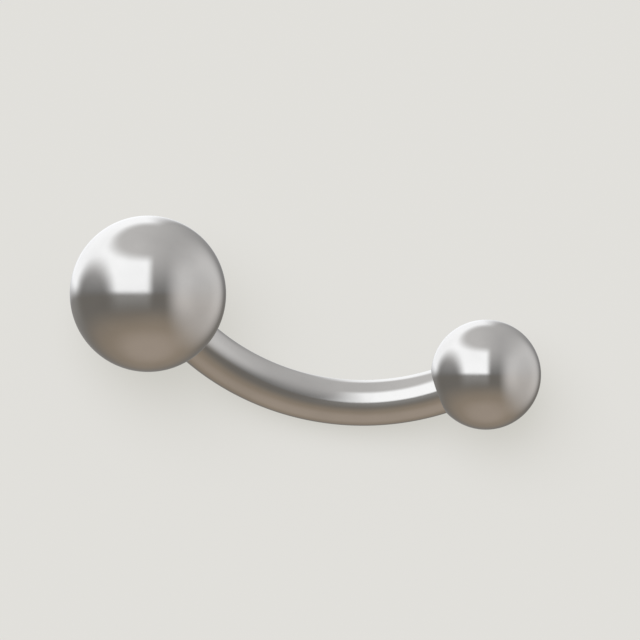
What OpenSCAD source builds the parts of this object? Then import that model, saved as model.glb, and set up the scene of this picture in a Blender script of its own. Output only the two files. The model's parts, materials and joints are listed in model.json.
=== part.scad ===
// Curved eyebrow barbell: a bent steel bar, threaded at both ends, with a larger
// and a smaller ball screwed on. It lies as it does on a table, on three points:
// the underside of each ball and the belly of the bend.
// Millimetres, +Z up, long way along X, origin on the table under the middle.

/* [Balls] */
// Diameter of the larger ball, at the -X end
large_ball_d = 4.25; // [4:0.05:4.5]
// Diameter of the smaller ball, at the +X end
small_ball_d = 3; // [3:0.05:3.5]
// How deep the shoulder of the bar sits inside each ball
seat_depth = 0.45; // [0.3:0.05:0.45]
// Bevel round the mouth of the hole in each ball
mouth_bevel = 0.02; // [0.01:0.01:0.04]

/* [Bar] */
// Diameter of the round bar, 16 gauge
bar_d = 1.25; // [1.2:0.01:1.3]
// Bend radius, to the middle of the bar
bend_r = 6.5; // [6.2:0.1:8]
// Angle that the bar is bent through, from one shoulder to the other
bend_angle = 67.5; // [60:0.5:72]

/* [Threads] */
// Diameter over the crests of the thread
thread_d = 1.1; // [1:0.05:1.1]
// Distance from one crest to the next
thread_pitch = 0.25; // [0.2:0.05:0.25]
// Number of crests on each end
thread_crests = 5; // [3:1:5]

/* [Fits] */
// Radial clearance between the bar and the holes in the balls
hole_clearance = 0.02; // [0.02:0.005:0.03]
// Gap between each shoulder and the seat that it screws up against
seat_gap = 0.01; // [0.01:0.01:0.02]

/* [Hidden] */
$fn = 96;
steel = [0.71, 0.70, 0.68];

bar_r = bar_d / 2;
large_r = large_ball_d / 2;
small_r = small_ball_d / 2;
half_bend = bend_angle / 2;

// Thread form: crests and roots have flats, and flank is the length of a sloping side
thread_angle = 60;
crest_flat = thread_pitch / 8;
root_flat = thread_pitch / 4;
flank = (thread_pitch - crest_flat - root_flat) / 2;
thread_r = thread_d / 2;
root_r = thread_r - flank / tan(thread_angle / 2);
neck_len = 0.1;     // bare root between the shoulder and the first crest
tip_bevel = 0.08;   // on the end of the bar
core_len = 0.3;     // how far the core of the thread runs back into the bar
thread_len = neck_len + thread_crests * thread_pitch + tip_bevel;

// Hole in each ball: a counterbore for the bar, then a drilled hole for the thread
counterbore_r = bar_r + hole_clearance;
thread_hole_r = thread_r + hole_clearance;
tip_room = 0.1;     // from the end of the bar to the full depth of the hole
thread_hole_len = thread_len + tip_room;
drill_angle = 118;
drill_point = thread_hole_r / tan(drill_angle / 2);
overcut = 1;        // how far a cut starts outside the ball

// Centre of a ball of radius r in the plane of the bend, whose own centre is the origin.
// side is -1 at the large ball and +1 at the small one.
function ball_centre(r, side) =
    let (reach = r - seat_depth)
    [side * (bend_r * sin(half_bend) + reach * cos(half_bend)),
     -bend_r * cos(half_bend) + reach * sin(half_bend)];

large_centre = ball_centre(large_r, -1);
small_centre = ball_centre(small_r, 1);
span = norm(small_centre - large_centre);
along = (small_centre - large_centre) / span;    // unit vector from ball to ball
across = [-along[1], along[0]];                  // unit vector away from the belly

// How the plane of the bend leans at rest. Its rise along the span is set by the balls,
// which both touch the table. Its rise across the span is the one that lets the belly
// touch too: the root of quad * x^2 + 2 * lift * drop * x + constant = 0.
rise_along = (small_r - large_r) / span;
drop = across * large_centre;
lift = large_r - bar_r - rise_along * (along * large_centre);
quad = pow(bend_r, 2) - pow(drop, 2);
constant = pow(bend_r * rise_along, 2) - pow(lift, 2);
rise_across = (sqrt(pow(lift * drop, 2) - quad * constant) - lift * drop) / quad;

dip = asin(-rise_along);                 // turn about Y, small end down
lean = asin(rise_across / cos(dip));     // turn about X, belly down to the table
middle_x = (span * cos(dip) + small_r - large_r) / 2;

// Carries the plane of the bend to its rest on the table
module at_rest()
    translate([-middle_x, 0, large_r])
        rotate([0, dip, 0])
            rotate([lean, 0, 0])
                rotate([0, 0, -atan2(along[1], along[0])])
                    translate([-large_centre[0], -large_centre[1], 0])
                        children();

// The +X end of the bar: the origin is in the middle of the shoulder, and local +Z runs
// out along the thread
module at_small_end()
    rotate([0, 0, half_bend - 90])
        translate([bend_r, 0, 0])
            rotate([-90, 0, 0])
                children();

// The -X end is its mirror image
module at_large_end()
    mirror([1, 0, 0])
        at_small_end()
            children();

// The bend in its own plane, with its belly towards -Y
module bend()
    rotate([0, 0, -90 - half_bend])
        rotate_extrude(angle = bend_angle)
            translate([bend_r, 0])
                circle(r = bar_r);

// Half outline of one crest, whose pitch starts at height z
function crest(z) = [
    [root_r, z + root_flat / 2],
    [thread_r, z + root_flat / 2 + flank],
    [thread_r, z + root_flat / 2 + flank + crest_flat],
    [root_r, z + thread_pitch - root_flat / 2],
];

// Half outline of a threaded end: its core inside the bar, the neck, the crests, the tip
thread_outline = concat(
    [[0, -core_len], [root_r, -core_len]],
    [for (i = [0 : thread_crests - 1], point = crest(neck_len + i * thread_pitch)) point],
    [[root_r, thread_len - tip_bevel], [root_r - tip_bevel, thread_len], [0, thread_len]]
);

// One threaded end, with its crests turned as rings
module thread()
    rotate_extrude()
        polygon(thread_outline);

module bar()
    color(steel)
        at_rest() {
            bend();
            at_small_end() thread();
            at_large_end() thread();
        }

// What is drilled out of a ball, seen from the shoulder
module hole(ball_r) {
    mouth = ball_r - sqrt(pow(ball_r, 2) - pow(counterbore_r, 2)) - seat_depth;
    translate([0, 0, -seat_depth - overcut])
        cylinder(r = counterbore_r, h = seat_depth + overcut + seat_gap);
    cylinder(r = thread_hole_r, h = thread_hole_len);
    translate([0, 0, thread_hole_len])
        cylinder(r1 = thread_hole_r, r2 = 0, h = drill_point);
    translate([0, 0, mouth - mouth_bevel])
        cylinder(r1 = counterbore_r + 2 * mouth_bevel, r2 = counterbore_r, h = 2 * mouth_bevel);
}

module ball(ball_r)
    color(steel)
        difference() {
            translate([0, 0, ball_r - seat_depth])
                sphere(r = ball_r);
            hole(ball_r);
        }

module large_ball()
    at_rest() at_large_end() ball(large_r);

module small_ball()
    at_rest() at_small_end() ball(small_r);

bar();
large_ball();
small_ball();
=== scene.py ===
"""Curved eyebrow barbell: a bent steel bar with a larger and a smaller ball screwed on.

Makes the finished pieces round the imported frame, and a plain pale stage to show them on.
Metres, +Z up, in the frame's own axes.
"""

import json
import math

import bpy
import numpy as np
from bpy.props import FloatProperty, FloatVectorProperty, IntProperty, PointerProperty
from mathutils import Matrix, Vector


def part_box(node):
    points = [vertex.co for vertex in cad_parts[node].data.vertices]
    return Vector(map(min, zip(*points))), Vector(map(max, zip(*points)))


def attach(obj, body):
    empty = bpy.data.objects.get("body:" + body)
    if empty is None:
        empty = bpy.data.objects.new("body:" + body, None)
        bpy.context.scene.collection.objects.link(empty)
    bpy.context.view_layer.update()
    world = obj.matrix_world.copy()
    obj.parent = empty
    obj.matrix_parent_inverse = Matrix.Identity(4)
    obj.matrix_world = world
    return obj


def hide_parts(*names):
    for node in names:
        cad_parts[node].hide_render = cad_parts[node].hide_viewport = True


bl_info = {
    "name": "Curved Eyebrow Barbell",
    "version": (1, 0, 0),
    "blender": (4, 5, 0),
    "location": "View3D > Sidebar > Barbell",
    "description": "Makes a bent steel bar with two screwed-on balls, and a pale stage for it",
    "category": "Add Mesh",
}

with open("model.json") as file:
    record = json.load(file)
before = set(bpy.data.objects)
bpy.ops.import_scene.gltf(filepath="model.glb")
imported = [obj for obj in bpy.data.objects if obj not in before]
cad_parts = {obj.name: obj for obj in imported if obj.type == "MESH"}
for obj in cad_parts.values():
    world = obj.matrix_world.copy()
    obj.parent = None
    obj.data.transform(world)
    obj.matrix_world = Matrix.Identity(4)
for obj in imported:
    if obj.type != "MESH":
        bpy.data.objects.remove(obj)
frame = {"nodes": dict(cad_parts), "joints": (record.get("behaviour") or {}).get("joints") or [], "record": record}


def unit(vector):
    """The vector of length 1 that points the same way."""
    return vector / np.linalg.norm(vector)


MM = 0.001
WORN_STRETCH = next(m for m in frame["record"]["mounts"] if m["name"] == "worn_stretch")
OUT_AXES = {j["child"]: unit(np.array(j["axis"])) for j in frame["joints"]}

# Thread of the bar, and groove in the wall of each hole
THREAD_DEPTH = 0.135 * MM  # from the crests of the bar's thread to its root
ROOT_FLAT = 0.22           # height of a plain triangular thread below which its root is flat
CREST_FLAT = 0.88          # height of it above which its crest is flat
GROOVE_DEPTH = 0.06 * MM
GROOVE_START = 0.04 * MM   # from the shoulder to where the groove begins
GROOVE_FADE = 0.2 * MM     # from the shoulder, or the end of the hole, to the groove's full depth
DRILL_ANGLE = math.radians(118)
SHARP_ANGLE = math.radians(38)  # an edge that turns by more than this stays sharp

# How much painted shade darkens a place, and how much rougher it is: 0 on the outside, and 1 at the root of a
# thread
CREST_RELIEF = 0.8  # how much less it is on the crests of the bar's thread
WALL_RECESS_SHADE = 0.85  # on the wall of a hole, between the turns of its groove

# Rows and columns of the surfaces
BAR_COLUMNS = 128
BAR_ROWS_A_TURN = 18
SHOULDER_ROWS = 5
BEND_ROWS = 161
BALL_COLUMNS = 240
SPHERE_ROWS = 176
MOUTH_ROWS = 6
WALL_ROWS = 4
HOLE_ROWS_A_TURN = 14
POINT_ROWS = 6

# Grain of the polish. A range is the two levels of a noise between which a change takes place.
POLISH_SCALE = 900       # of the broad noise that the polish wanders with
POLISH_DETAIL = 4
POLISH_RANGE = (0.35, 0.72)
BEST_TINT = 1.02         # of the steel's colour, where the polish is best
POOREST_TINT = 0.965     # of the same, where it is poorest
MARK_SCALE = 30000       # of the fine noise that makes the polishing marks
MARK_DETAIL = 3
MARK_STRETCH = 8         # how many times as long as wide a mark is
MARK_RANGE = (0.5, 0.8)
MARK_ROUGHNESS = 0.03    # roughness that a mark adds
RECESS_ROUGHNESS = 0.45  # roughness that a full recess adds

# Camera
SENSOR_WIDTH = 36  # in millimetres
CLIP_SPREAD = 10   # how many times nearer and farther than the barbell the camera sees

# Where the surroundings change, by the sine of the angle up, down, to the right, or near, which
# is towards the camera. Each line names that direction. It gives where a smooth change begins
# and ends, and then the values before and after it, unless they are 0 and 1.
CEILING_SIDES = (-0.35, 0.5)          # right: from the ceiling's left colour to its right one
CEILING_RISE = (-0.22, 0.97)          # up: from the horizon to the ceiling
HORIZON = (-0.1, 0.1)                 # up: from the lower half to the upper one
GROUND_WARMS = (0.25, 0.85)           # down: from the dark ground to the brown
GROUND_PALES = (0.75, 1)              # down: from the brown ground to the paler one underneath
WINDOW_END = (-0.04, 0.19, 1, 0)      # right: the window's right edge
WINDOW_FOOT = (-0.055, 0.105)         # up: its lower edge
WINDOW_HEAD = (0.7, 0.895, 1, 0)      # up: its upper edge
WINDOW_REAR = (-1.05, -0.7, 0.82, 1)  # near: it is dimmer at the rear
WINDOW_FLANK = (-0.9, 0, 0.9, 1)      # near: and a little dimmer behind the flank
GLOW_FOOT = (0, 0.55, 0.12, 0)        # down: its faint glow on what is under it
GLOW_REAR = (-1, 0.3, 0.6, 1)         # near: the glow is fainter at the rear
PATCH_START = (0.39, 0.82)            # right: the left edge of the pale patch
PATCH_RIM = (0.86, 1, 1, 0.85)        # right: it is fainter straight to the right
PATCH_FOOT = (0.1, 0.95, 1, 0.35)     # down: fainter low down
PATCH_HEAD = (0.45, 0.95, 1, 0.3)     # up: fainter high up
PATCH_TINTS = (-0.3, 0.3)             # up: from its lower colour to its upper one

# The round gap in the window: the way to its middle, as right, up and near, and its edge by
# the cosine of the angle from there
GAP_MIDDLE = (-0.996, -0.087, 0.01)
GAP_EDGE = (0.662, 0.932, 1, 0)


def sphere_of(node):
    """Centre and radius of the ball in a node, in metres.

    The box gives a first centre and radius. The vertices within a hundredth of that radius
    lie on the outside of the ball, and the sphere through them by least squares is the answer:
    the squared length of a point is linear in the centre and in one constant.
    """
    low, high = (np.array(corner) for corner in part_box(node))
    vertices = frame["nodes"][node].data.vertices
    points = np.empty(len(vertices) * 3, np.float32)
    vertices.foreach_get("co", points)
    points = points.reshape(-1, 3).astype(float)
    centre = (low + high) / 2
    radius = (high - low).max() / 2
    distance = np.linalg.norm(points - centre, axis=1)
    outside = points[abs(distance - radius) < radius / 100]
    system = np.column_stack([2 * outside, np.ones(len(outside))])
    answer = np.linalg.lstsq(system, (outside ** 2).sum(axis=1), rcond=None)[0]
    return answer[:3], math.sqrt(answer[3] + answer[:3] @ answer[:3])


class Bend:
    """The bend of the bar, worked out from the mount at its belly and the axes of its two ends.

    The ends turn away from the belly's tangent by half the bend's angle. From the belly, the centre
    of the smaller ball is one arc and one straight reach away, which gives the radius and the reach.
    """

    def __init__(self):
        self.belly = np.array(WORN_STRETCH["pos_m"])
        self.tangent = unit(np.array(WORN_STRETCH["axis"]))
        self.bar_radius = WORN_STRETCH["dims"]["r_mm"] * MM
        inward = OUT_AXES["small_ball"] + OUT_AXES["large_ball"]
        self.inward = unit(inward - (inward @ self.tangent) * self.tangent)
        self.normal = np.cross(self.tangent, self.inward)
        self.half_angle = math.acos(-OUT_AXES["small_ball"] @ OUT_AXES["large_ball"]) / 2
        centre, ball_radius = sphere_of("small_ball")
        aside = (centre - self.belly) @ np.column_stack([self.tangent, self.inward])
        sine, cosine = math.sin(self.half_angle), math.cos(self.half_angle)
        self.radius, reach = np.linalg.solve([[sine, cosine], [1 - cosine, sine]], aside)
        self.seat_depth = ball_radius - reach
        self.length = 2 * self.radius * self.half_angle


BEND = Bend()


class BarbellSizes(bpy.types.PropertyGroup):
    """Sizes of what the frame doesn't give: the thread, the holes and the small bevels."""

    thread_diameter: FloatProperty(
        name="Thread diameter", description="Diameter over the crests of the thread",
        default=1.1 * MM, unit="LENGTH", precision=6)
    thread_pitch: FloatProperty(
        name="Thread pitch", description="Distance from one turn of the thread to the next",
        default=0.25 * MM, unit="LENGTH", precision=6)
    thread_turns: IntProperty(
        name="Thread turns", description="Turns of thread on each end", default=5, min=1)
    neck_length: FloatProperty(
        name="Neck length", description="Bare neck between the shoulder and the thread",
        default=0.1 * MM, unit="LENGTH", precision=6)
    tip_bevel: FloatProperty(
        name="Tip bevel", description="Bevel on each end of the bar",
        default=0.08 * MM, unit="LENGTH", precision=6)
    tip_room: FloatProperty(
        name="Tip room", description="Depth of each threaded hole beyond the end of the bar",
        default=0.1 * MM, unit="LENGTH", precision=6)
    hole_clearance: FloatProperty(
        name="Hole clearance", description="Gap between the bar and the holes, on the radius",
        default=0.02 * MM, unit="LENGTH", precision=6)
    edge_bevel: FloatProperty(
        name="Edge bevel", description="Bevel on the shoulders and round the mouths of the holes",
        default=0.02 * MM, unit="LENGTH", precision=6)


class BarbellFinish(bpy.types.PropertyGroup):
    """Finish of the steel, and the painted shade down in its recesses."""

    steel: FloatVectorProperty(
        name="Steel", description="Colour of the polished steel", subtype="COLOR",
        size=3, min=0, max=1, default=(0.62, 0.61, 0.59))
    # painted shade: a dark colour put on the steel down in the thread and the holes, where shade falls
    recess_shade: FloatVectorProperty(
        name="Recess", description="Colour of the steel down in the thread and the holes",
        subtype="COLOR", size=3, min=0, max=1, default=(0.06, 0.055, 0.05))
    gloss: FloatProperty(
        name="Roughness", description="Roughness of the polish where it is best",
        default=0.07, min=0, max=1, subtype="FACTOR")
    haze: FloatProperty(
        name="Haze", description="Roughness added where the polish is poorest",
        default=0.07, min=0, max=1, subtype="FACTOR")
    mark_depth: FloatProperty(
        name="Mark depth", description="Depth of the marks left by polishing",
        default=0.00025 * MM, unit="LENGTH", precision=6)


class BarbellStage(bpy.types.PropertyGroup):
    """Floor, lamp, surroundings and camera."""

    floor: FloatVectorProperty(
        name="Floor", description="Colour of the pale floor", subtype="COLOR",
        size=3, min=0, max=1, default=(0.77, 0.759, 0.708))
    floor_glow: FloatProperty(
        name="Floor glow", description="Share of the floor's brightness that is its own",
        default=0.757, min=0, max=1, subtype="FACTOR")
    floor_paint: FloatProperty(
        name="Floor paint", description="Share of the light on the floor that it gives back",
        default=0.13, min=0, max=1, subtype="FACTOR")
    lamp: FloatProperty(
        name="Lamp", description="Strength of the lamp that casts the shadow", default=3.6, min=0)
    lamp_colour: FloatVectorProperty(
        name="Lamp colour", description="Colour of the lamp, cool so that its shadow is warm",
        subtype="COLOR", size=3, min=0, max=2, default=(0.97, 0.98, 1.15))
    lamp_width: FloatProperty(
        name="Lamp width", description="How wide the lamp looks, which softens the shadow",
        default=math.radians(58), subtype="ANGLE")
    lamp_left: FloatProperty(
        name="Lamp left", description="Slope of the lamp's light from the left", default=0.38)
    lamp_above: FloatProperty(
        name="Lamp above", description="Slope of the lamp's light from the top of the picture",
        default=0.24)
    floor_reach: FloatProperty(
        name="Floor reach", description="From the middle of the floor to its edge",
        default=0.3, unit="LENGTH")
    field: FloatProperty(
        name="Field", description="Width that the camera sees at the barbell",
        default=17.41 * MM, unit="LENGTH", precision=6)
    lens: FloatProperty(
        name="Lens", description="Focal length, in millimetres", default=500, min=1)
    lean_away: FloatProperty(
        name="Lean away", description="How far the belly leans away from the camera",
        default=math.radians(21.8), subtype="ANGLE")
    fall: FloatProperty(
        name="Fall", description="How far the line from ball to ball falls to the right",
        default=math.radians(13.46), subtype="ANGLE")
    aim_right: FloatProperty(
        name="Aim right", description="From the middle between the balls to the middle of the view",
        default=0.074 * MM, unit="LENGTH", precision=6)
    aim_up: FloatProperty(
        name="Aim up", description="From the middle between the balls up to the middle of the view",
        default=0.39 * MM, unit="LENGTH", precision=6)


def add_object(name, data):
    """A new object in the scene, at the origin, unturned and unscaled."""
    thing = bpy.data.objects.new(name, data)
    bpy.context.scene.collection.objects.link(thing)
    return thing


def closed_surface(name, rings, first_pole, last_pole, recess_shade):
    """A mesh through rings[i, j], closed at each end by a fan to a pole.

    rings is a grid of points, ring i and place j round it, and the last place meets the first.
    Place j runs anticlockwise as seen from the later rings, so that the faces point outwards.
    recess_shade, one number for each point of the grid, says how much painted shade darkens that point, and
    becomes the point attribute of that name.
    """
    rows, columns = rings.shape[:2]
    points = np.concatenate([rings.reshape(-1, 3), [first_pole, last_pole]])
    place = np.arange(rows * columns).reshape(rows, columns)
    beside = np.roll(place, -1, axis=1)
    quads = np.stack([place[:-1], beside[:-1], beside[1:], place[1:]], axis=-1).reshape(-1, 4)
    first, last = rows * columns, rows * columns + 1
    first_fan = np.stack([np.full(columns, first), beside[0], place[0]], axis=-1)
    last_fan = np.stack([np.full(columns, last), place[-1], beside[-1]], axis=-1)
    mesh = bpy.data.meshes.new(name)
    mesh.from_pydata(points.tolist(), [], quads.tolist() + first_fan.tolist() + last_fan.tolist())
    mesh.polygons.foreach_set("use_smooth", np.ones(len(mesh.polygons), bool))
    mesh.set_sharp_from_angle(angle=SHARP_ANGLE)
    attribute = mesh.attributes.new("recess_shade", "FLOAT", "POINT")
    values = np.concatenate([recess_shade.ravel(), [recess_shade[0].mean(), recess_shade[-1].mean()]])
    attribute.data.foreach_set("value", values.astype(np.float32))
    mesh.update()
    return add_object(name, mesh)


def smooth_step(low, high, value):
    """0 below low, 1 above high, and a smooth S between them."""
    share = np.clip((value - low) / (high - low), 0, 1)
    return share * share * (3 - 2 * share)


def thread_form(turns):
    """Height of a thread, from 0 at its root to 1 at its crest, as a function of turns.

    It rises and falls once for each whole turn, as a triangle whose root and crest are cut flat
    and whose corners are eased.
    """
    triangle = 1 - abs(2 * (turns % 1) - 1)
    return smooth_step(ROOT_FLAT, CREST_FLAT, triangle)


def thread_length(sizes):
    """From a shoulder of the bar to its end: the neck, the turns of thread and the bevelled tip."""
    return sizes.neck_length + sizes.thread_turns * sizes.thread_pitch + sizes.tip_bevel


def profile(aside, along):
    """Points of a half outline, as distances from an axis and along it; either may be one number."""
    return np.stack(np.broadcast_arrays(aside, along), axis=-1)


def make_bar(sizes):
    """The bar: its outline carried along the thread axis, the bend, and the other thread axis.

    A point is the path's point at one distance along it, plus the radius there times a unit vector
    that turns once round the path. The radius is the bar's along the bend, and beyond each shoulder
    it is the root's plus the thread form of distance over pitch, less the turn beyond the bend and
    plus the turn before it, which gives both ends the same hand.
    """
    pitch, bevel = sizes.thread_pitch, sizes.edge_bevel
    crest = sizes.thread_diameter / 2
    root = crest - THREAD_DEPTH

    # one threaded end, from its tip to the shoulder: distance past the shoulder, and radius
    length = thread_length(sizes)
    thread_rows = int(length / pitch * BAR_ROWS_A_TURN)
    end_past = np.linspace(length, 0, thread_rows)
    tip_cone = root - sizes.tip_bevel + (length - end_past)
    end_radius = np.minimum(root, tip_cone)

    # the shoulder: a flat ring, then a quarter round up to the bar's own radius
    quarter = np.linspace(0, 1, SHOULDER_ROWS) * math.pi / 2
    ring_middle = root + (BEND.bar_radius - bevel - root) / 2
    shoulder = np.concatenate([[ring_middle], BEND.bar_radius - bevel + bevel * np.sin(quarter)])
    shoulder_along = np.concatenate([[0], bevel * (1 - np.cos(quarter))])

    # the whole bar, by distance along it from the shoulder at the larger ball
    bend_along = np.linspace(bevel, BEND.length - bevel, BEND_ROWS)[1:-1]
    along = np.concatenate([-end_past, shoulder_along, bend_along,
                            BEND.length - shoulder_along[::-1], BEND.length + end_past[::-1]])
    radius = np.concatenate([end_radius, shoulder, np.full(len(bend_along), BEND.bar_radius),
                             shoulder[::-1], end_radius[::-1]])
    no_limit = np.full(len(along) - 2 * thread_rows, np.inf)
    limit = np.maximum(np.concatenate([tip_cone, no_limit, tip_cone[::-1]]), radius)

    # the turns of thread, which stay inside the bevels of the tips
    angle = np.linspace(0, 2 * math.pi, BAR_COLUMNS, endpoint=False)
    past = np.maximum(-along, along - BEND.length)
    hand = np.where(along < BEND.length / 2, -1, 1)
    turns = past[:, None] / pitch - hand[:, None] * angle / (2 * math.pi)
    fade = smooth_step(sizes.neck_length, sizes.neck_length + pitch / 2, past)
    ridge = (crest - root) * thread_form(turns) * fade[:, None]
    threaded = (past > 0)[:, None]
    ridged = np.minimum(radius[:, None] + ridge, limit[:, None])
    full_radius = np.where(threaded, ridged, radius[:, None])

    # the path turns by distance over radius along the bend, and runs straight on beyond it
    bent_along = np.clip(along, 0, BEND.length)
    turned = bent_along / BEND.radius - BEND.half_angle
    sine, cosine = np.sin(turned)[:, None], np.cos(turned)[:, None]
    forward = cosine * BEND.tangent + sine * BEND.inward
    inner = -sine * BEND.tangent + cosine * BEND.inward
    straight = (along - bent_along)[:, None] * forward
    arc = BEND.radius * (sine * BEND.tangent + (1 - cosine) * BEND.inward)
    path = BEND.belly + arc + straight
    spoke = np.cos(angle)[:, None] * inner[:, None, :] + np.sin(angle)[:, None] * BEND.normal
    rings = path[:, None, :] + full_radius[:, :, None] * spoke
    # painted shade: the thread darkens from its crests down to its roots
    height = np.clip((full_radius - root) / (crest - root), 0, 1)
    recess_shade = np.where(threaded, 1 - CREST_RELIEF * height, 0.0)
    return closed_surface("steel_bar", rings, path[0], path[-1], recess_shade)


def make_ball(sizes, node):
    """One ball: its half outline turned about the axis of its hole.

    The outline runs from the pole opposite the hole round the sphere to the mouth, over a small
    round bevel, down the counterbore to the seat, and down the drilled hole to a point. A groove
    with the bar's own pitch runs round the wall of the drilled hole.
    """
    centre, ball_radius = sphere_of(node)
    out = OUT_AXES[node]
    clearance, bevel, pitch = sizes.hole_clearance, sizes.edge_bevel, sizes.thread_pitch
    counterbore = BEND.bar_radius + clearance
    drill = sizes.thread_diameter / 2 + clearance

    # places on the axis, from the centre of the ball: the bar's shoulder, the seat, which leaves
    # the shoulder a little room, and the full depth of the hole, where the drill's point begins
    shoulder = BEND.seat_depth - ball_radius
    seat = shoulder + clearance / 2
    depth = thread_length(sizes) + sizes.tip_room
    deepest = shoulder + depth
    point = drill / math.tan(DRILL_ANGLE / 2)

    # the half outline, from the far pole to the end of the hole
    mouth_angle = math.asin((counterbore + bevel) / ball_radius)
    polar = np.linspace(0, math.pi - mouth_angle, SPHERE_ROWS + 1)[1:]
    sphere = profile(ball_radius * np.sin(polar), ball_radius * np.cos(polar))
    quarter = np.linspace(0, math.pi / 2, MOUTH_ROWS + 1)[1:]
    lip = sphere[-1, 1]
    mouth = profile(counterbore + bevel * (1 - np.sin(quarter)), lip + bevel * (1 - np.cos(quarter)))
    wall = profile(counterbore, np.linspace(mouth[-1, 1], seat, WALL_ROWS + 2)[1:-1])
    ledge = profile([counterbore, (counterbore + drill) / 2], seat)
    hole_rows = int(depth / pitch * HOLE_ROWS_A_TURN)
    hole = profile(drill, np.linspace(seat, deepest, hole_rows))
    share = np.linspace(0, 1, POINT_ROWS + 2)[1:-1]
    drill_point = profile(drill * (1 - share), deepest + point * share)
    outline = np.concatenate([sphere, mouth, wall, ledge, hole, drill_point])

    # the groove, which fades in beyond the shoulder and out before the full depth
    row = np.arange(len(outline))
    outside_rows = len(sphere) + len(mouth)
    hole_start = outside_rows + len(wall) + len(ledge)
    in_hole = (row >= hole_start) & (row < hole_start + hole_rows)
    past = outline[:, 1] - shoulder
    fade = smooth_step(GROOVE_START, GROOVE_FADE, past) * smooth_step(0, GROOVE_FADE, depth - past)
    angle = np.linspace(0, 2 * math.pi, BALL_COLUMNS, endpoint=False)
    turns = past[:, None] / pitch + angle / (2 * math.pi)
    groove = GROOVE_DEPTH * np.where(in_hole, fade, 0)[:, None] * thread_form(turns)

    side = unit(np.cross(out, BEND.normal))
    other = np.cross(-out, side)
    spoke = np.cos(angle)[:, None] * side + np.sin(angle)[:, None] * other
    rings = (centre + outline[:, 1, None, None] * out
             + (outline[:, 0, None] + groove)[:, :, None] * spoke)
    # painted shade: the walls of the holes darken, most of all down in the groove
    inside = (row >= outside_rows)[:, None]
    recess_shade = np.where(inside, WALL_RECESS_SHADE + (1 - WALL_RECESS_SHADE) * groove / GROOVE_DEPTH, 0.0)
    far_pole = centre + ball_radius * out
    hole_end = centre + (deepest + point) * out
    return closed_surface("steel_" + node, rings, far_pole, hole_end, recess_shade)


class Nodes:
    """Short ways to add and link the nodes of one tree."""

    def __init__(self, tree):
        self.tree = tree
        tree.nodes.clear()

    def add(self, kind, **settings):
        """A node with its own settings."""
        node = self.tree.nodes.new(kind)
        for key, value in settings.items():
            setattr(node, key, value)
        return node

    def feed(self, socket, value):
        """Links a socket into another one, or sets a number or a colour on it."""
        if isinstance(value, bpy.types.NodeSocket):
            self.tree.links.new(value, socket)
        else:
            socket.default_value = value

    def math(self, operation, *values):
        """One operation on two or three numbers."""
        node = self.add("ShaderNodeMath", operation=operation)
        for place, value in enumerate(values):
            self.feed(node.inputs[place], value)
        return node.outputs[0]

    def step(self, value, low, high, start=0.0, end=1.0):
        """A smooth S from start to end as value goes from low to high."""
        node = self.add("ShaderNodeMapRange", interpolation_type="SMOOTHSTEP")
        for place, number in enumerate((value, low, high, start, end)):
            self.feed(node.inputs[place], number)
        return node.outputs[0]

    def noise(self, place, scale, detail):
        """A cloudy noise from 0 to 1."""
        node = self.add("ShaderNodeTexNoise")
        self.feed(node.inputs["Vector"], place)
        self.feed(node.inputs["Scale"], scale)
        self.feed(node.inputs["Detail"], detail)
        return node.outputs["Fac"]

    def mix(self, share, first, second):
        """A colour between two colours."""
        # inputs 6 and 7 and output 2 are the ones of this node that carry colours
        node = self.add("ShaderNodeMix", data_type="RGBA")
        self.feed(node.inputs["Factor"], share)
        self.feed(node.inputs[6], first)
        self.feed(node.inputs[7], second)
        return node.outputs[2]

    def product(self, *values):
        """Several numbers multiplied together."""
        result = values[0]
        for value in values[1:]:
            result = self.math("MULTIPLY", result, value)
        return result


def opaque(colour):
    """A colour with full opacity."""
    return (*colour, 1.0)


def steel_material(name, finish, run, across):
    """Polished steel.

    Its roughness wanders with a broad noise, fine polishing marks run along the direction run and
    are narrow along the direction across, and down in a recess the steel is rougher and painted
    shade darkens it.
    """
    material = bpy.data.materials.new(name)
    material.use_nodes = True
    n = Nodes(material.node_tree)

    def tinted(tint):
        """The steel's colour, a little brighter or darker."""
        return opaque(min(1.0, part * tint) for part in finish.steel)

    place = n.add("ShaderNodeTexCoord").outputs["Object"]
    recess_shade = n.add("ShaderNodeAttribute", attribute_name="recess_shade").outputs["Fac"]
    patches = n.step(n.noise(place, POLISH_SCALE, POLISH_DETAIL), *POLISH_RANGE)
    turn = Matrix([run, across, np.cross(run, across)])
    lined = n.add("ShaderNodeMapping", vector_type="TEXTURE")
    n.feed(lined.inputs["Vector"], place)
    lined.inputs["Rotation"].default_value = turn.transposed().to_euler()
    lined.inputs["Scale"].default_value = (MARK_STRETCH, 1, 1)
    marks = n.noise(lined.outputs["Vector"], MARK_SCALE, MARK_DETAIL)

    outside = n.mix(patches, tinted(BEST_TINT), tinted(POOREST_TINT))
    polish = n.math("MULTIPLY_ADD", patches, finish.haze, finish.gloss)
    marked = n.math("ADD", polish, n.step(marks, *MARK_RANGE, 0, MARK_ROUGHNESS))
    bump = n.add("ShaderNodeBump")
    bump.inputs["Strength"].default_value = 1.0
    bump.inputs["Distance"].default_value = finish.mark_depth
    n.feed(bump.inputs["Height"], marks)
    shader = n.add("ShaderNodeBsdfPrincipled")
    shader.inputs["Metallic"].default_value = 1.0
    # painted shade: the colour goes to the dark recess shade down in a recess
    n.feed(shader.inputs["Base Color"], n.mix(recess_shade, outside, opaque(finish.recess_shade)))
    n.feed(shader.inputs["Roughness"], n.math("MULTIPLY_ADD", recess_shade, RECESS_ROUGHNESS, marked))
    n.feed(shader.inputs["Normal"], bump.outputs["Normal"])
    n.feed(n.add("ShaderNodeOutputMaterial").inputs["Surface"], shader.outputs["BSDF"])
    return material


def finish_piece(piece, material, body):
    """Gives a piece its material, and lets it ride on the body whose CAD node it stands for.

    The pieces don't show in each other's reflections, which are of the surroundings alone.
    """
    piece.data.materials.append(material)
    piece.visible_glossy = False
    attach(piece, body)
    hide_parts(body)


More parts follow.
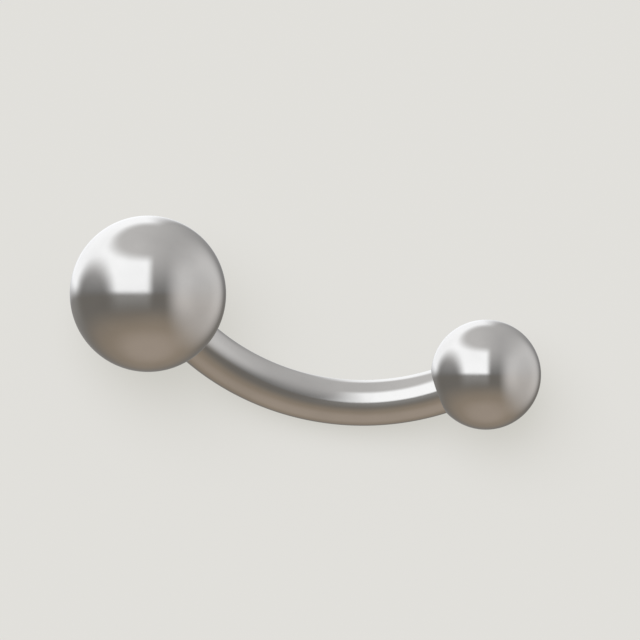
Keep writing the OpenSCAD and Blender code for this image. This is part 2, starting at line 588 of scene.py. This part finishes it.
class BARBELL_OT_bar(bpy.types.Operator):
    """Makes the bent bar with its two threaded ends"""

    bl_idname = "barbell.bar"
    bl_label = "Bar"

    def execute(self, context):
        scene = context.scene
        piece = make_bar(scene.barbell_sizes)
        material = steel_material("bar_steel", scene.barbell_finish, BEND.tangent, BEND.inward)
        finish_piece(piece, material, "bar")
        return {"FINISHED"}


class BARBELL_OT_balls(bpy.types.Operator):
    """Makes the larger and the smaller ball, each drilled for the bar"""

    bl_idname = "barbell.balls"
    bl_label = "Balls"

    def execute(self, context):
        scene = context.scene
        material = steel_material("ball_steel", scene.barbell_finish, BEND.inward, BEND.normal)
        for node in ("large_ball", "small_ball"):
            piece = make_ball(scene.barbell_sizes, node)
            finish_piece(piece, material, node)
        return {"FINISHED"}


def camera_turn(stage):
    """The camera's axes as the columns of a matrix: right, up, and back towards the camera.

    In the camera's own axes, the plane of the bend leans away by one angle about the picture's
    level, and the line from ball to ball in it falls by another. The matrix carries those two
    directions to the ones that the frame has.
    """
    lean, fall = stage.lean_away, stage.fall
    seen_normal = np.array([0, -math.sin(lean), math.cos(lean)])
    seen_along = unit(np.array([math.cos(fall), -math.sin(fall), -math.sin(fall) * math.tan(lean)]))
    seen = np.column_stack([seen_along, np.cross(seen_normal, seen_along), seen_normal])
    along = unit(sphere_of("small_ball")[0] - sphere_of("large_ball")[0])
    real = np.column_stack([along, np.cross(BEND.normal, along), BEND.normal])
    return real @ seen.T


def make_camera(stage):
    """A long lens at the photographed angle, aimed near the middle between the balls."""
    turn = camera_turn(stage)
    distance = stage.field * stage.lens / SENSOR_WIDTH
    data = bpy.data.cameras.new("camera")
    data.lens = stage.lens
    data.sensor_width = SENSOR_WIDTH
    data.clip_start = distance / CLIP_SPREAD
    data.clip_end = distance * CLIP_SPREAD
    middle = (sphere_of("small_ball")[0] + sphere_of("large_ball")[0]) / 2
    target = middle + stage.aim_right * turn[:, 0] + stage.aim_up * turn[:, 1]
    camera = add_object("camera", data)
    camera.matrix_world = (Matrix.Translation(Vector(target + distance * turn[:, 2]))
                           @ Matrix(turn.tolist()).to_4x4())
    bpy.context.scene.camera = camera


def make_floor(stage):
    """A pale floor whose brightness is mostly its own, so that the shadows on it stay faint."""
    reach = stage.floor_reach
    mesh = bpy.data.meshes.new("floor")
    corners = [(-reach, -reach, 0), (reach, -reach, 0), (reach, reach, 0), (-reach, reach, 0)]
    mesh.from_pydata(corners, [], [(0, 1, 2, 3)])
    floor = add_object("floor", mesh)
    material = bpy.data.materials.new("floor")
    material.use_nodes = True
    n = Nodes(material.node_tree)
    lit = n.add("ShaderNodeBsdfDiffuse")
    n.feed(lit.inputs["Color"], opaque(part * stage.floor_paint for part in stage.floor))
    glow = n.add("ShaderNodeEmission")
    n.feed(glow.inputs["Color"], opaque(stage.floor))
    glow.inputs["Strength"].default_value = stage.floor_glow
    both = n.add("ShaderNodeAddShader")
    n.feed(both.inputs[0], lit.outputs[0])
    n.feed(both.inputs[1], glow.outputs[0])
    n.feed(n.add("ShaderNodeOutputMaterial").inputs["Surface"], both.outputs[0])
    mesh.materials.append(material)
    floor.visible_glossy = False


def make_lamp(stage):
    """A wide soft lamp high up to the left, which lights the floor and doesn't show in the steel."""
    turn = camera_turn(stage)
    right, up = turn[:, 0], turn[:, 1]
    way = np.array([0, 0, 1]) - stage.lamp_left * right + stage.lamp_above * up
    data = bpy.data.lights.new("lamp", "SUN")
    data.energy = stage.lamp
    data.color = stage.lamp_colour
    data.angle = stage.lamp_width
    lamp = add_object("lamp", data)
    lamp.rotation_euler = Vector(way).to_track_quat("Z", "Y").to_euler()
    lamp.visible_glossy = False


def make_surroundings(stage, finish):
    """What the steel reflects, as bright and dark areas by direction.

    The upper half is grey, paler towards the top. The lower half is brown, paler underneath, and
    both are darkest at the horizon. A bright window runs round the left, from the rear to just
    past the middle of the front, with a round gap at its foot straight to the left. It dims
    towards the rear, and glows faintly on what is under it. To the right, a pale patch lies over
    both halves. The camera itself sees a plain backdrop of the floor's colour beyond the floor.
    """
    world = bpy.data.worlds.new("surroundings")
    bpy.context.scene.world = world
    world.use_nodes = True
    n = Nodes(world.node_tree)

    def light(*seen):
        """The light whose reflection in the steel has the colour seen."""
        return opaque(part / steel for part, steel in zip(seen, finish.steel))

    # the direction that is reflected, in the camera's own axes
    turned = n.add("ShaderNodeMapping")
    n.feed(turned.inputs["Vector"], n.add("ShaderNodeTexCoord").outputs["Generated"])
    turned.inputs["Rotation"].default_value = Matrix(camera_turn(stage).T.tolist()).to_euler()
    direction = turned.outputs["Vector"]
    split = n.add("ShaderNodeSeparateXYZ")
    n.feed(split.inputs[0], direction)
    right, up, near = split.outputs
    down = n.math("MULTIPLY", up, -1.0)

    # the grey upper half
    horizon = light(0.131, 0.127, 0.123)
    left_ceiling = light(0.469, 0.457, 0.446)
    right_ceiling = light(0.371, 0.362, 0.353)
    ceiling = n.mix(n.step(right, *CEILING_SIDES), left_ceiling, right_ceiling)
    above = n.mix(n.step(up, *CEILING_RISE), horizon, ceiling)

    # how far the window reaches to the sides, with its gap, which its glow shares
    from_gap = n.add("ShaderNodeVectorMath", operation="DOT_PRODUCT")
    n.feed(from_gap.inputs[0], direction)
    from_gap.inputs[1].default_value = GAP_MIDDLE
    spread = n.product(n.step(from_gap.outputs["Value"], *GAP_EDGE), n.step(right, *WINDOW_END))
    glass = light(0.905, 0.905, 0.904)

    # the brown lower half, with the glow
    dark_ground = light(0.134, 0.124, 0.111)
    brown_ground = light(0.235, 0.193, 0.15)
    pale_ground = light(0.298, 0.248, 0.202)
    ground = n.mix(n.step(down, *GROUND_WARMS), dark_ground, brown_ground)
    ground = n.mix(n.step(down, *GROUND_PALES), ground, pale_ground)
    glow = n.product(spread, n.step(down, *GLOW_FOOT), n.step(near, *GLOW_REAR))
    below = n.mix(glow, ground, glass)
    halves = n.mix(n.step(up, *HORIZON), below, above)

    # the pale patch on the right
    low_patch = light(0.455, 0.428, 0.403)
    high_patch = light(0.492, 0.48, 0.47)
    patch_colour = n.mix(n.step(up, *PATCH_TINTS), low_patch, high_patch)
    patch = n.product(n.step(right, *PATCH_START), n.step(right, *PATCH_RIM),
                      n.step(down, *PATCH_FOOT), n.step(up, *PATCH_HEAD))
    patched = n.mix(patch, halves, patch_colour)

    # the window, over everything
    window = n.product(spread, n.step(up, *WINDOW_FOOT), n.step(up, *WINDOW_HEAD),
                       n.step(near, *WINDOW_REAR), n.step(near, *WINDOW_FLANK))
    room = n.mix(window, patched, glass)

    # the plain backdrop, for the camera alone
    seen_by_camera = n.add("ShaderNodeLightPath").outputs["Is Camera Ray"]
    background = n.add("ShaderNodeBackground")
    n.feed(background.inputs["Color"], n.mix(seen_by_camera, room, opaque(stage.floor)))
    n.feed(n.add("ShaderNodeOutputWorld").inputs["Surface"], background.outputs[0])


class BARBELL_OT_stage(bpy.types.Operator):
    """Makes the floor, the lamp, the surroundings and the camera"""

    bl_idname = "barbell.stage"
    bl_label = "Stage"

    def execute(self, context):
        stage = context.scene.barbell_stage
        make_floor(stage)
        make_lamp(stage)
        make_surroundings(stage, context.scene.barbell_finish)
        make_camera(stage)
        context.scene.view_settings.view_transform = "Standard"
        return {"FINISHED"}


class VIEW3D_PT_barbell(bpy.types.Panel):
    """Lists the pieces of the barbell and their sizes"""

    bl_idname = "VIEW3D_PT_barbell"
    bl_label = "Curved Eyebrow Barbell"
    bl_space_type = "VIEW_3D"
    bl_region_type = "UI"
    bl_category = "Barbell"

    def draw(self, context):
        layout = self.layout
        for operator in (BARBELL_OT_bar, BARBELL_OT_balls, BARBELL_OT_stage):
            layout.operator(operator.bl_idname)
        for group in (context.scene.barbell_sizes, context.scene.barbell_finish,
                      context.scene.barbell_stage):
            box = layout.box()
            for name in group.__annotations__:
                box.prop(group, name)


CLASSES = (BarbellSizes, BarbellFinish, BarbellStage, BARBELL_OT_bar, BARBELL_OT_balls,
           BARBELL_OT_stage, VIEW3D_PT_barbell)


def register():
    """Adds the classes, and keeps their settings with the scene."""
    for cls in CLASSES:
        bpy.utils.register_class(cls)
    bpy.types.Scene.barbell_sizes = PointerProperty(type=BarbellSizes)
    bpy.types.Scene.barbell_finish = PointerProperty(type=BarbellFinish)
    bpy.types.Scene.barbell_stage = PointerProperty(type=BarbellStage)


def unregister():
    """Takes away what register adds."""
    del bpy.types.Scene.barbell_stage
    del bpy.types.Scene.barbell_finish
    del bpy.types.Scene.barbell_sizes
    for cls in reversed(CLASSES):
        bpy.utils.unregister_class(cls)


def main():
    """Makes every piece and the stage."""
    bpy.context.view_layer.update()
    register()
    bpy.ops.barbell.bar()
    bpy.ops.barbell.balls()
    bpy.ops.barbell.stage()
    bpy.context.view_layer.update()


if __name__ == "__main__":
    main()
